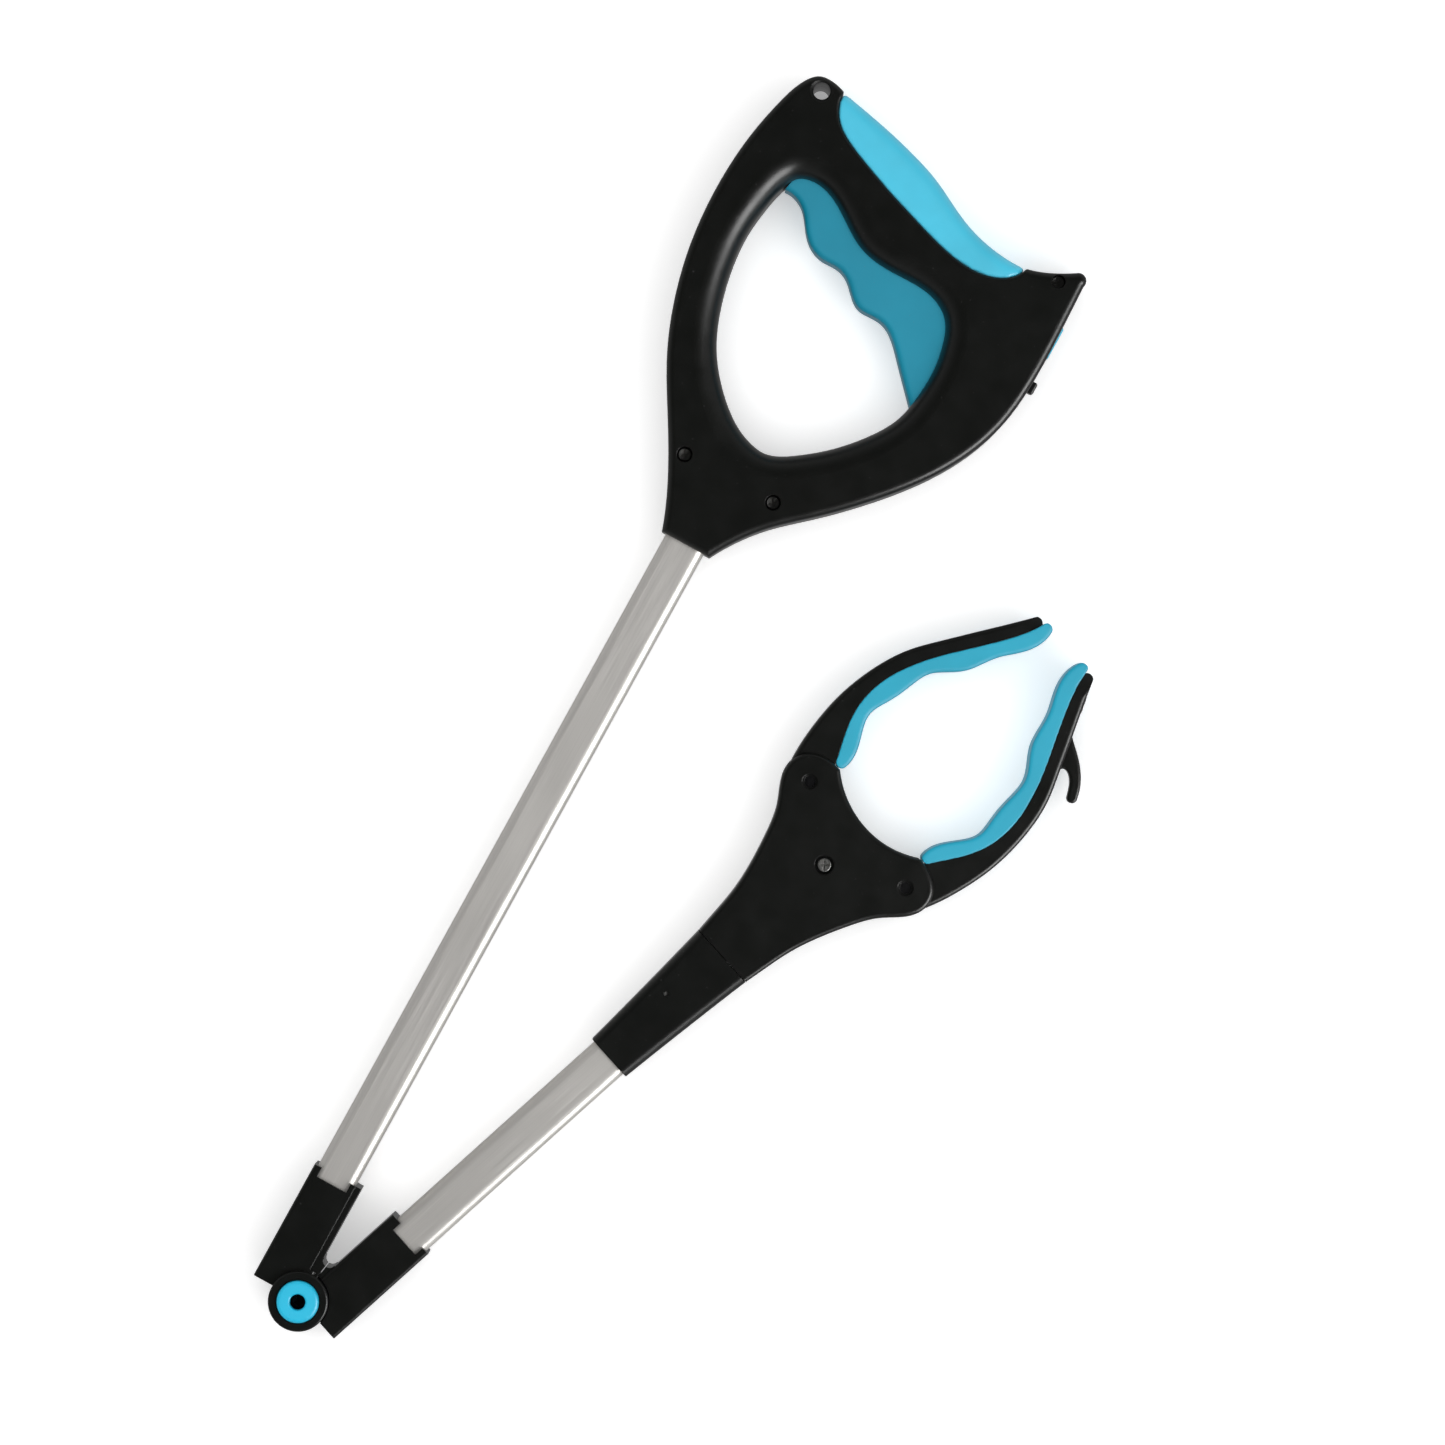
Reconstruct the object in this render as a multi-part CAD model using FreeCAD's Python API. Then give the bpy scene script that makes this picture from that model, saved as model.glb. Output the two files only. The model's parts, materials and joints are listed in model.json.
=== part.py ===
"""Reacher grabber: a folding pick-up tool with a D-shaped handle and two padded jaws.

The tool lies on its side, folded. Millimetres. While the pieces are built, the fold
pivot is at the origin, +X runs along the upper tube towards the handle, and Z is 0 at
mid thickness. The lower arm is built along +X too, then turned by FOLD_ANGLE. At the
end everything is moved so that the origin is at the middle of the footprint, on the floor.
"""
import FreeCAD, Part
import math
import os

# Driving dimensions
FOLD_ANGLE = 19.2        # between the two arms when folded
ARM_OFFSET = 9.45        # fold axis to each tube's centreline
TUBE_SIDE = 15.0
TUBE_WALL = 1.0
TUBE_CORNER = 3.2
TUBE_START = 14.0        # end of both tubes nearest the fold axis
UPPER_TUBE_END = 312.0
LOWER_TUBE_END = 172.0

SOCKET_HALF = 9.5        # sockets, half thickness
SOCKET_END = 44.5
SOCKET_IN = -0.4         # side of the upper socket that faces the other arm
SOCKET_OUT = 18.1
EAR_R = 10.5
EAR_IN = 6.0             # inner faces of the two ears
EAR_OUT = 12.5
KNUCKLE_R = 10.2
KNUCKLE_HALF = 5.7
HINGE_CLEAR_R = 10.8
CABLE_SLOT = 1.5         # half width of the slot that the cable runs in
RIVET_X = 29.0
RIVET_R = 1.6
HINGE_PIN_R = 2.0
HINGE_PIN_END = 8.4
HINGE_HEAD_R = 4.5
HINGE_HEAD_THICK = 1.3
HINGE_SCREW_R = 1.2
ROLLER_R = 3.3           # the roller that carries the cable round the fold pin
BUTTON_R = 7.4
BUTTON_LOW = 10.0
BUTTON_TRAVEL = 2.6
BUTTON_SEAT = 7.2        # floor of the socket's recess under the button
BUTTON_SPRING_R = 4.1
BUTTON_SPRING_DEEP = 1.8
LUG_ANGLE = 130.0        # where the button's lock lug stands round the fold axis
LUG_EASE = 0.25
UNFOLD_ANGLE = 180.0 - FOLD_ANGLE

HANDLE_HALF = 16.0
SHELL_WALL = 2.5
MOUTH_X = 296.0
PROFILE_FULL_X = 360.0   # the handle reaches its full thickness here
LOOP_ROUND = 8.0         # soft rounding of the finger loop's edge
SEAT_ROUND = 1.0         # rounding of the shells where they meet the palm pad
SEAM_DEPTH = 0.4         # groove where two shells meet
RIM_ROUND = 2.6          # rounding of the handle's outer edge
TRIGGER_PIVOT = (403.0, -58.5)
TRIGGER_HALF = 8.5
TRIGGER_HUB_R = 5.5
TRIGGER_TOP_R = 98.6     # the trigger's top end turns about its pivot at this radius
TRIGGER_PIN_R = 2.0
CABLE_ANCHOR = (394.5, -40.5)
LOCK_TRAVEL = 6.0
HANG_HOLE = (456.8, 43.5)
HANG_HOLE_R = 3.0
HANG_HOLE_WALL = 2.2
NECK_SCREWS = [(323.2, 24.3), (323.3, -10.7)]
BEAK_SCREW = (438.4, -60.6)
SCREW_SEATS = [(NECK_SCREWS[0], 13.0), (NECK_SCREWS[1], 13.0), (BEAK_SCREW, 13.4)]
SCREW_SINK = 2.4
SCREW_R = 1.4
SCREW_TIP = -9.0
SCREW_HEAD_R = 2.2
PIVOT_PIN_HALF = 13.0
GUIDE_HALF = 2.5
GUIDE_PIN_R = 1.2
GUIDE_PIN_HALF = 9.0
NIPPLE_R = 2.0
NIPPLE_HALF = 4.0
TUBE_PIN = (302.0, 13.4)
TUBE_PIN_R = 1.25
TUBE_PIN_HALF = 8.6
LOCK_NUB_X = (400.3, 404.7)
LOCK_NUB_HALF = 3.0
LOCK_NUB_END = -71.8
LOCK_FACE_X = (413.7, 425.9)
LOCK_FACE_HALF = 4.6
LOCK_FACE_END = -70.4
LOCK_FACE_SINK = 0.5     # how far the push face is let into the plate
LOCK_PLATE_X = (397.0, 433.0)
LOCK_PLATE_Y = (-66.3, -64.8)
LOCK_PLATE_HALF = 5.4
LOCK_WINDOW_EASE = 0.4

CABLE_R = 0.6
CABLE_BORE_R = 1.2
CABLE_MEET = 4.0         # the straight runs start this far inside their tubes
CABLE_RUN_END = UPPER_TUBE_END - 12.0
CABLE_BENDS = [((326.9, ARM_OFFSET), 7.0), ((338.3, -22.0), 4.0), ((366.0, -45.6), 4.5)]

COLLAR_START = 137.0
COLLAR_END = 190.0
HEAD_START = 190.3
HEAD_HALF = 12.0
HEAD_WALL = 2.0
PLATE_IN = 10.2          # inner faces of the head's plates, which hold the jaws
SPIGOT_R = 8.0
SPIGOT_X = (177.0, 197.0)
FLANGE_X = (179.5, 181.5)
FLANGE_R = 9.4
HEAD_FLANGE_X = (192.6, 194.6)
HEAD_FLANGE_R = 9.6
FLANGE_RIB = 1.5         # ribs of the head shells on each side of that flange
NECK_PIN = (166.9, 3.35)
NECK_PIN_R = 0.75
NECK_PIN_LOW = 4.0
NECK_PIN_HIGH = 9.9
SPRING_X = (197.0, 210.0)
FERRULE_X = (213.0, 219.0)
FERRULE_R = 2.2
HEAD_SCREW_X = 237.9
HEAD_SCREW_HEAD_R = 2.4
JAW_PIVOT = (253.6, 24.9)
JAW_EAR_R = 9.8
JAW_KNUCKLE_R = 9.4
JAW_HALF = 9.8
JAW_PIN_R = 2.0
JAW_PIN_HALF = 11.0
CRANK = 8.5
CRANK_ANGLE = 250.0
DRIVE_PIN_R = 1.3
DRIVE_PIN_HALF = 7.0
CRANK_R = 3.3
MAGNET_R = 3.0
MAGNET_THICK = 2.0
MAGNET_PROUD = 0.5
MAGNET_PLACE = (342.6, 19.0)
MAGNET_DIRECTION = (0.49, 0.87)
YOKE_HALF = 3.0
YOKE_REACH = 20.3        # the yoke's cross bar, half length
YOKE_BAR_X = (247.4, 253.3)

RUNNING = 0.05           # radial clearance of a pin that turns in its hole
FIXED = 0.02             # radial ease round a pin or screw that stays put
CLEAR = 0.3              # gap between moving pieces
THROUGH = 60.0           # longer than anything that is cut through

NODES = {}


# Geometry helpers

def vec(x, y, z=0.0):
    return FreeCAD.Vector(x, y, z)


def polar(centre, radius, degrees):
    angle = math.radians(degrees)
    return (centre[0] + radius * math.cos(angle), centre[1] + radius * math.sin(angle))


def line(start, end):
    return Part.LineSegment(vec(*start), vec(*end)).toShape()


def arc(start, middle, end):
    return Part.Arc(vec(*start), vec(*middle), vec(*end)).toShape()


def spline(points, closed=False):
    curve = Part.BSplineCurve()
    curve.interpolate([vec(*p) for p in points], PeriodicFlag=closed)
    return curve.toShape()


def wire(edges):
    return Part.Wire(Part.__sortEdges__(edges))


def polygon(points):
    return Part.makePolygon([vec(*p) for p in points] + [vec(*points[0])])


def prism(outline, low, high):
    face = Part.Face(outline)
    face.translate(vec(0, 0, low))
    return face.extrude(vec(0, 0, high - low))


def box(x, y, z):
    return Part.makeBox(x[1] - x[0], y[1] - y[0], z[1] - z[0], vec(x[0], y[0], z[0]))


def disc(centre, radius, low, high):
    return Part.makeCylinder(radius, high - low, vec(centre[0], centre[1], low))


def ring(centre, outer, inner, low, high):
    return disc(centre, outer, low, high).cut(disc(centre, inner, low, high))


def rod_x(radius, x, y):
    """A round bar along X, at mid thickness."""
    return Part.makeCylinder(radius, x[1] - x[0], vec(x[0], y, 0), vec(1, 0, 0))


def flat_edges(shape, height, keep=lambda point: True):
    """Edges that lie at +height or -height and whose middle passes keep."""
    found = []
    for edge in shape.Edges:
        middle = edge.valueAt((edge.FirstParameter + edge.LastParameter) / 2)
        level = edge.BoundBox.ZLength < 0.01 and abs(abs(middle.z) - height) < 0.01
        if level and keep(middle):
            found.append(edge)
    return found


def square_section(x, y, width, height, corner):
    """A rounded rectangle across X, centred on (y, 0)."""
    half_y = width / 2
    half_z = height / 2
    edges = []
    turn = corner * (1 - math.sqrt(0.5))
    for side_y, side_z in ((1, 1), (-1, 1), (-1, -1), (1, -1)):
        along_y = vec(x, y + side_y * (half_y - corner), side_z * half_z)
        along_z = vec(x, y + side_y * half_y, side_z * (half_z - corner))
        middle = vec(x, y + side_y * (half_y - turn), side_z * (half_z - turn))
        first, last = (along_z, along_y) if side_y == side_z else (along_y, along_z)
        edges.append(Part.Arc(first, middle, last).toShape())
    straight = []
    for index, edge in enumerate(edges):
        end = edge.valueAt(edge.LastParameter)
        follower = edges[(index + 1) % 4]
        straight.append(Part.LineSegment(end, follower.valueAt(follower.FirstParameter)).toShape())
    return wire(edges + straight)


def square_bar(x, y, width, height, corner):
    face = Part.Face(square_section(x[0], y, width, height, corner))
    return face.extrude(vec(x[1] - x[0], 0, 0))


def screw(centre, head_r, head_low, head_high, shank_r, tip):
    """A countersunk-recess screw along Z with a cross-recessed head."""
    edge_round = 0.3
    slot_depth = 0.7
    slot_half = 0.3
    slot_reach = head_r * 0.7
    head = disc(centre, head_r, head_low, head_high)
    head = head.makeFillet(edge_round, flat_edges(head, head_high))
    for turn in (45, 135):
        slot = box((-slot_reach, slot_reach), (-slot_half, slot_half), (head_high - slot_depth, THROUGH))
        slot.rotate(vec(0, 0), vec(0, 0, 1), turn)
        slot.translate(vec(centre[0], centre[1]))
        head = head.cut(slot)
    return head.fuse(disc(centre, shank_r, tip, head_low)).removeSplitter()


def cable(edges):
    """A round cable along line and arc edges that meet end to end."""
    path = wire(edges)
    start = path.Vertexes[0].Point
    first = path.OrderedEdges[0]
    tangent = first.tangentAt(first.FirstParameter)
    section = Part.Wire(Part.Circle(start, tangent, CABLE_R).toShape())
    return path.makePipeShell([section], True, False)


def rounded_path(points, radii):
    """Straight runs between points, with a tangent arc of the given radius at each inner one."""
    edges = []
    start = vec(*points[0])
    for index, radius in enumerate(radii):
        corner = vec(*points[index + 1])
        before = (vec(*points[index]) - corner).normalize()
        after = (vec(*points[index + 2]) - corner).normalize()
        half = before.getAngle(after) / 2
        tangent = radius / math.tan(half)
        inward = (before + after).normalize()
        entry = corner + before * tangent
        leave = corner + after * tangent
        middle = corner + inward * (radius / math.sin(half) - radius)
        edges.append(Part.LineSegment(start, entry).toShape())
        edges.append(Part.Arc(entry, middle, leave).toShape())
        start = leave
    edges.append(Part.LineSegment(start, vec(*points[-1])).toShape())
    return edges


def inset(outline, distance):
    """The outline moved inwards, redrawn as plain splines and lines."""
    moved = Part.Face(outline).makeOffset2D(-distance).OuterWire
    spacing = 4.0
    edges = []
    for edge in moved.OrderedEdges:
        if isinstance(edge.Curve, Part.Line):
            ends = edge.discretize(2)
            edges.append(Part.LineSegment(ends[0], ends[1]).toShape())
        else:
            curve = Part.BSplineCurve()
            curve.interpolate(edge.discretize(max(4, int(edge.Length / spacing))))
            edges.append(curve.toShape())
    return wire(edges)


def seam_groove(outline):
    """A shallow groove round an outline, half in each of two shells that meet at mid height."""
    half_width = 0.15
    outside = prism(inset(outline, -1.0), -half_width, half_width)
    return outside.cut(prism(inset(outline, SEAM_DEPTH), -THROUGH, THROUGH))


def bend_centre(before, corner, after, radius):
    """Centre of the arc that rounds a corner with the given radius."""
    middle = vec(*corner)
    first = (vec(*before) - middle).normalize()
    last = (vec(*after) - middle).normalize()
    half = first.getAngle(last) / 2
    centre = middle + (first + last).normalize() * (radius / math.sin(half))
    return (centre.x, centre.y)


def add(name, shape):
    NODES[name] = shape


def add_lower(name, shape):
    """A piece of the lower arm, built along +X and turned to where it lies folded."""
    placed = shape.copy()
    placed.rotate(vec(0, 0), vec(0, 0, 1), -FOLD_ANGLE)
    NODES[name] = placed


def mirrored(shape):
    """Upper-arm piece reflected for the lower arm, which lies on the pivot's other side."""
    return shape.mirror(vec(0, 0), vec(0, 1, 0))


# Tubes and the fold hinge

def tube(x, centre_y):
    outside = square_bar(x, centre_y, TUBE_SIDE, TUBE_SIDE, TUBE_CORNER)
    inner = TUBE_SIDE - 2 * TUBE_WALL
    return outside.cut(square_bar(x, centre_y, inner, inner, TUBE_CORNER - TUBE_WALL))


def socket_block():
    """The part both sockets share: a box round the tube, with a shoulder at the fold."""
    start = 0.4
    corner = 1.2
    width = SOCKET_OUT - SOCKET_IN
    middle = (SOCKET_OUT + SOCKET_IN) / 2
    block = square_bar((start, SOCKET_END), middle, width, 2 * SOCKET_HALF, corner)
    half_turn = math.radians(FOLD_ANGLE / 2)
    gap = CLEAR / 2
    shoulder_start = 8.0
    shoulder_end = 17.4
    inside = SOCKET_IN + 1.5
    shoulder = polygon([
        (shoulder_start, inside), (shoulder_end, inside),
        (shoulder_end, gap - shoulder_end * math.tan(half_turn)),
        (shoulder_start, gap - shoulder_start * math.tan(half_turn))])
    web_half = SOCKET_HALF - 1.0
    web = prism(shoulder, -web_half, web_half)
    notch_r = 2.2
    notch = disc(polar((0, 0), shoulder_end, -FOLD_ANGLE / 2), notch_r, -THROUGH, THROUGH)
    block = block.fuse(web.cut(notch))
    block = block.cut(square_bar((TUBE_START, THROUGH), ARM_OFFSET, TUBE_SIDE, TUBE_SIDE, TUBE_CORNER))
    channel_y = (ARM_OFFSET - 5.5, ARM_OFFSET + 2.5)
    block = block.cut(box((0, TUBE_START), channel_y, (-CABLE_SLOT, CABLE_SLOT)))
    mouth_start = 41.0
    half_mouth = 5.8
    mouth = box((mouth_start, THROUGH), (ARM_OFFSET - half_mouth, ARM_OFFSET + half_mouth),
                (-THROUGH, THROUGH))
    mouth_height = TUBE_SIDE - 2.0
    bar = square_bar((0, THROUGH), ARM_OFFSET, TUBE_SIDE, mouth_height, TUBE_CORNER)
    return cut_each(block.cut(mouth.cut(bar)), rivets(FIXED))


def upper_socket():
    block = socket_block()
    block = block.cut(disc((0, 0), HINGE_CLEAR_R, -EAR_IN, EAR_IN))
    ear_round = 0.8
    for low, high in ((EAR_IN, EAR_OUT), (-EAR_OUT, -EAR_IN)):
        ear = disc((0, 0), EAR_R, low, high)
        block = block.fuse(ear.makeFillet(ear_round, flat_edges(ear, EAR_OUT)))
    block = block.cut(disc((0, 0), HINGE_PIN_R, -THROUGH, THROUGH))
    block = block.cut(disc((0, 0), BUTTON_R + CLEAR, BUTTON_SEAT, THROUGH))
    head_ease = 0.1
    head_seat = -EAR_OUT + HINGE_HEAD_THICK + head_ease
    block = block.cut(disc((0, 0), HINGE_HEAD_R + head_ease, -THROUGH, head_seat))
    rebate_wide = 2.2
    rebate_deep = 1.0
    round_ear = disc((0, 0), EAR_R + 1.0, -THROUGH, THROUGH)
    for low, high in ((SOCKET_HALF - rebate_deep, THROUGH), (-THROUGH, rebate_deep - SOCKET_HALF)):
        rebate = box((0, THROUGH), (SOCKET_IN - 5.0, SOCKET_IN + rebate_wide), (low, high))
        block = block.cut(rebate.cut(round_ear))
    return block.cut(lug(LUG_EASE)).removeSplitter()


def lug(extra):
    """The button's lock lug, or the hole for it when extra is more than 0."""
    inner = 4.7
    outer = 7.1
    half_width = 1.4
    low = 2.3 + BUTTON_TRAVEL
    high = BUTTON_LOW + 0.2
    piece = box((inner - extra, outer + extra), (-half_width - extra, half_width + extra), (low, high))
    piece.rotate(vec(0, 0), vec(0, 0, 1), LUG_ANGLE)
    return piece


def lug_groove():
    """An arc in the knuckle's upper cheek that the lug runs in from folded to straight."""
    inner = 4.3
    outer = 7.5
    floor = 2.0
    margin = 19.0
    start = LUG_ANGLE - margin
    sweep = UNFOLD_ANGLE + 2 * margin
    groove = Part.makeCylinder(outer, THROUGH, vec(0, 0, floor), vec(0, 0, 1), sweep)
    groove = groove.cut(disc((0, 0), inner, floor, THROUGH))
    groove.rotate(vec(0, 0), vec(0, 0, 1), start)
    return groove


def lower_socket():
    """Built along +X in the lower arm's own direction."""
    block = mirrored(socket_block())
    for low, high in ((KNUCKLE_HALF, THROUGH), (-THROUGH, -KNUCKLE_HALF)):
        block = block.cut(disc((0, 0), HINGE_CLEAR_R, low, high))
    block = block.fuse(disc((0, 0), KNUCKLE_R, -KNUCKLE_HALF, KNUCKLE_HALF))
    block = block.cut(disc((0, 0), HINGE_CLEAR_R, -CABLE_SLOT, CABLE_SLOT))
    block = block.cut(disc((0, 0), HINGE_PIN_R + RUNNING, -THROUGH, THROUGH))
    groove = lug_groove()
    groove.rotate(vec(0, 0), vec(0, 0, 1), FOLD_ANGLE)
    return block.cut(groove).removeSplitter()


def rivets(extra=0.0):
    """Two blind rivets, one through each side wall of a socket and into its tube."""
    outer_side = vec(RIVET_X, SOCKET_OUT, 0)
    inner_side = vec(RIVET_X, SOCKET_IN, 0)
    outer_length = 3.2
    inner_length = 4.2
    radius = RIVET_R + extra
    return [Part.makeCylinder(radius, outer_length, outer_side, vec(0, -1, 0)),
            Part.makeCylinder(radius, inner_length, inner_side, vec(0, 1, 0))]


def cut_each(shape, cutters):
    for cutter in cutters:
        shape = shape.cut(cutter)
    return shape


def upper_tube():
    pieces = rivets(FIXED)
    pieces.append(disc(TUBE_PIN, TUBE_PIN_R + FIXED, -THROUGH, THROUGH))
    return cut_each(tube((TUBE_START, UPPER_TUBE_END), ARM_OFFSET), pieces)


def lower_tube():
    pieces = [mirrored(piece) for piece in rivets(FIXED)]
    pin_place = (NECK_PIN[0], NECK_PIN[1] - ARM_OFFSET)
    pieces.append(disc(pin_place, NECK_PIN_R + FIXED, NECK_PIN_LOW, THROUGH))
    return cut_each(tube((TUBE_START, LOWER_TUBE_END), -ARM_OFFSET), pieces)


def hinge_button():
    high = 14.4
    hole_r = 2.7
    outer_round = 1.5
    hole_round = 0.8
    button = ring((0, 0), BUTTON_R, hole_r, BUTTON_LOW, high)
    between = (BUTTON_R + hole_r) / 2
    outer_edges = flat_edges(button, high, lambda p: vec(p.x, p.y).Length > between)
    button = button.makeFillet(outer_round, outer_edges)
    hole_edges = flat_edges(button, high, lambda p: vec(p.x, p.y).Length < between)
    button = button.makeFillet(hole_round, hole_edges)
    spring_seat = disc((0, 0), BUTTON_SPRING_R + CLEAR, BUTTON_LOW, BUTTON_LOW + BUTTON_SPRING_DEEP)
    return button.cut(spring_seat).fuse(lug(0.0)).removeSplitter()


def hinge_cable():
    """The cable's short run from one tube, round the roller on the fold pin, to the other."""
    start = (TUBE_START + CABLE_MEET - CLEAR, ARM_OFFSET)
    wrap_r = ROLLER_R + CABLE_R
    reach = math.hypot(*start)
    angle = math.degrees(math.atan2(start[1], start[0]) + math.acos(wrap_r / reach))
    half_turn = -FOLD_ANGLE / 2
    first = polar((0, 0), wrap_r, angle)
    last = polar((0, 0), wrap_r, 2 * half_turn - angle)
    end = polar((0, 0), reach, 2 * half_turn - math.degrees(math.atan2(start[1], start[0])))
    middle = polar((0, 0), wrap_r, half_turn + 180)
    return cable([line(start, first), arc(first, middle, last), line(last, end)])


def hinge_pin():
    """A headed pin, tapped at the button's end for its screw."""
    head_round = 0.5
    head_top = -EAR_OUT + HINGE_HEAD_THICK
    head = disc((0, 0), HINGE_HEAD_R, -EAR_OUT, head_top)
    pin = disc((0, 0), HINGE_PIN_R, head_top, HINGE_PIN_END)
    pin = pin.fuse(head.makeFillet(head_round, flat_edges(head, EAR_OUT)))
    return pin.cut(disc((0, 0), HINGE_SCREW_R, 0, HINGE_PIN_END)).removeSplitter()


def hinge_pin_screw():
    head_r = 2.4
    head_top = HINGE_PIN_END + 1.5
    tip = 1.0
    return screw((0, 0), head_r, HINGE_PIN_END, head_top, HINGE_SCREW_R, tip)


def make_hinge():
    add("upper_socket", upper_socket())
    add_lower("lower_socket", lower_socket())
    add("hinge_pin", hinge_pin())
    add("hinge_pin_screw", hinge_pin_screw())
    add("hinge_button", hinge_button())
    spring_wire = 1.0
    spring_top = BUTTON_LOW + BUTTON_SPRING_DEEP
    spring = ring((0, 0), BUTTON_SPRING_R, BUTTON_SPRING_R - spring_wire, BUTTON_SEAT, spring_top)
    add("hinge_button_spring", spring)
    roller_half = CABLE_SLOT - 0.1
    add("hinge_cable_roller", ring((0, 0), ROLLER_R, HINGE_PIN_R + RUNNING, -roller_half, roller_half))
    add("upper_tube", upper_tube())
    add_lower("lower_tube", lower_tube())
    add("upper_socket_rivets", Part.makeCompound(rivets()))
    add_lower("lower_socket_rivets", mirrored(Part.makeCompound(rivets())))
    add("cable_hinge_run", hinge_cable())


# Handle

PALM_EDGE = [(460.3, 36.4), (455.0, 35.6), (449.6, 32.0), (445.1, 25.0), (440.9, 15.0),
             (437.1, 5.0), (433.8, -5.0), (430.6, -15.0), (428.2, -25.0), (427.6, -33.0),
             (429.2, -41.0), (432.8, -46.4), (437.1, -48.6)]


def handle_outline():
    top = spline([(MOUTH_X, 18.5), (312, 25.0), (330, 34.8), (350, 46.2), (370, 53.9),
                  (390, 58.2), (410, 59.5), (430, 58.1), (448, 54.2), (457.0, 50.6),
                  (461.2, 46.4), (461.7, 42.6), PALM_EDGE[0]])
    beak = spline([PALM_EDGE[-1], (438.9, -54.5), (441.6, -60.2), (444.2, -64.6)])
    tip = arc((444.2, -64.6), (444.6, -67.8), (441.2, -69.1))
    under = spline([(441.2, -69.1), (430, -69.5), (415, -69.9), (400, -69.6), (385, -67.5),
                    (370, -62.0), (355, -52.8), (340, -40.2), (325, -24.9), (315, -13.9),
                    (306, -6.4), (MOUTH_X, -0.3)])
    mouth = line((MOUTH_X, -0.3), (MOUTH_X, 18.5))
    return wire([top, spline(PALM_EDGE), beak, tip, under, mouth])


def loop_outline():
    return wire([spline([(337.2, 3), (340.2, 12), (348, 22.2), (360, 31.9), (375, 38.4),
                         (390, 41.7), (403, 42.4), (413, 41.2), (421, 39.3), (426.5, 36),
                         (428.2, 30.5), (427.0, 24), (421.8, 15), (416.2, 6), (413.9, -4),
                         (413.9, -15), (412.6, -25.5), (408.2, -32.2), (400, -35.9),
                         (390, -37.4), (380, -36.9), (370, -34.7), (360, -28.8),
                         (350, -19.9), (342, -10)], closed=True)])


def side_profile(inset):
    """The handle seen from below: thin at the tube's mouth and full thickness at the loop."""
    half = HANDLE_HALF - inset
    mouth_half = 10.3 - inset
    near = MOUTH_X - 4.0
    far = 480.0
    full = PROFILE_FULL_X
    rise = half - mouth_half
    bend_r = ((full - near) ** 2 + rise ** 2) / (2 * rise)
    middle = (near + full) / 2
    level = half - bend_r + math.sqrt(bend_r ** 2 - (full - middle) ** 2)
    edges = []
    for side in (1, -1):
        edges.append(Part.Arc(vec(near, 0, side * mouth_half), vec(middle, 0, side * level),
                              vec(full, 0, side * half)).toShape())
        edges.append(Part.LineSegment(vec(full, 0, side * half), vec(far, 0, side * half)).toShape())
    for x, z in ((near, mouth_half), (far, half)):
        edges.append(Part.LineSegment(vec(x, 0, z), vec(x, 0, -z)).toShape())
    reach = 100.0
    face = Part.Face(wire(edges))
    face.translate(vec(0, -reach, 0))
    return face.extrude(vec(0, 2 * reach, 0))


def palm_outline():
    back = spline([PALM_EDGE[-1], (437.0, -41.5), (438.2, -32.5), (440.3, -25.0), (444.9, -15.0),
                   (449.6, -5.5), (453.2, 5.0), (455.9, 15.0), (458.1, 25.0), PALM_EDGE[0]])
    return wire([back, spline(PALM_EDGE)])


def palm_core():
    """The stiff rib of the shells that the soft pad wraps round."""
    half = 11.0
    back = [(432.5, -38), (434.0, -31), (437.5, -21), (443.5, -8), (447.5, 3), (450.5, 14),
            (453.0, 27)]
    front = [(445.0, 28), (441.4, 20), (437.5, 10), (434.0, 0), (430.7, -10), (427.8, -20),
             (426.4, -30)]
    return prism(polygon(back + front), -half, half)


def palm_pad():
    back_round = 5.0
    pad = prism(palm_outline(), -HANDLE_HALF, HANDLE_HALF)
    pad = pad.makeFillet(back_round, flat_edges(pad, HANDLE_HALF, on_palm_back))
    return pad.cut(palm_core()).removeSplitter()


def on_palm_back(point):
    """True for the middle of the pad's back edge, which lies well behind its seat."""
    return point.x > 447


def inside_bounds(bounds, outline, near):
    """True where an edge's box lies within an outline's box, give or take near."""
    limits = outline.BoundBox
    within_x = limits.XMin - near < bounds.XMin and bounds.XMax < limits.XMax + near
    within_y = limits.YMin - near < bounds.YMin and bounds.YMax < limits.YMax + near
    return within_x and within_y


def face_edges(shape):
    """Edges of the handle's two faces, sorted into its outer rim, the finger loop and the pad's seat."""
    found = {"rim": [], "loop": [], "seat": []}
    loop = loop_outline()
    seat = spline(PALM_EDGE)
    near = 0.5
    for edge in shape.Edges:
        bounds = edge.BoundBox
        across = bounds.ZMin < 0 < bounds.ZMax
        join = bounds.XLength < 0.01 and abs(bounds.XMin - PROFILE_FULL_X) < near
        level = bounds.ZLength < 0.01 and abs(abs(bounds.ZMin) - HANDLE_HALF) < 0.01
        if across or join:
            continue
        if inside_bounds(bounds, loop, near):
            found["loop"].append(edge)
        elif level and bounds.XMin < seat.BoundBox.XMin + near and inside_bounds(bounds, seat, near):
            found["seat"].append(edge)
        elif not inside_bounds(bounds, seat, near):
            found["rim"].append(edge)
    return found


def trigger_slot():
    """Where the loop's wall is open for the trigger, and the way its top end sweeps."""
    side_gap = 0.5
    end_gap = 0.6
    half = TRIGGER_HALF + side_gap
    opening = prism(polygon([(367, -27), (367, -42), (405, -46), (420, -38), (437, 12), (436, 45),
                             (405, 45), (395, 30), (395, -20)]), -half, half)
    sweep = disc(TRIGGER_PIVOT, TRIGGER_TOP_R + end_gap, -half, half)
    return opening.common(sweep)


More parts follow.
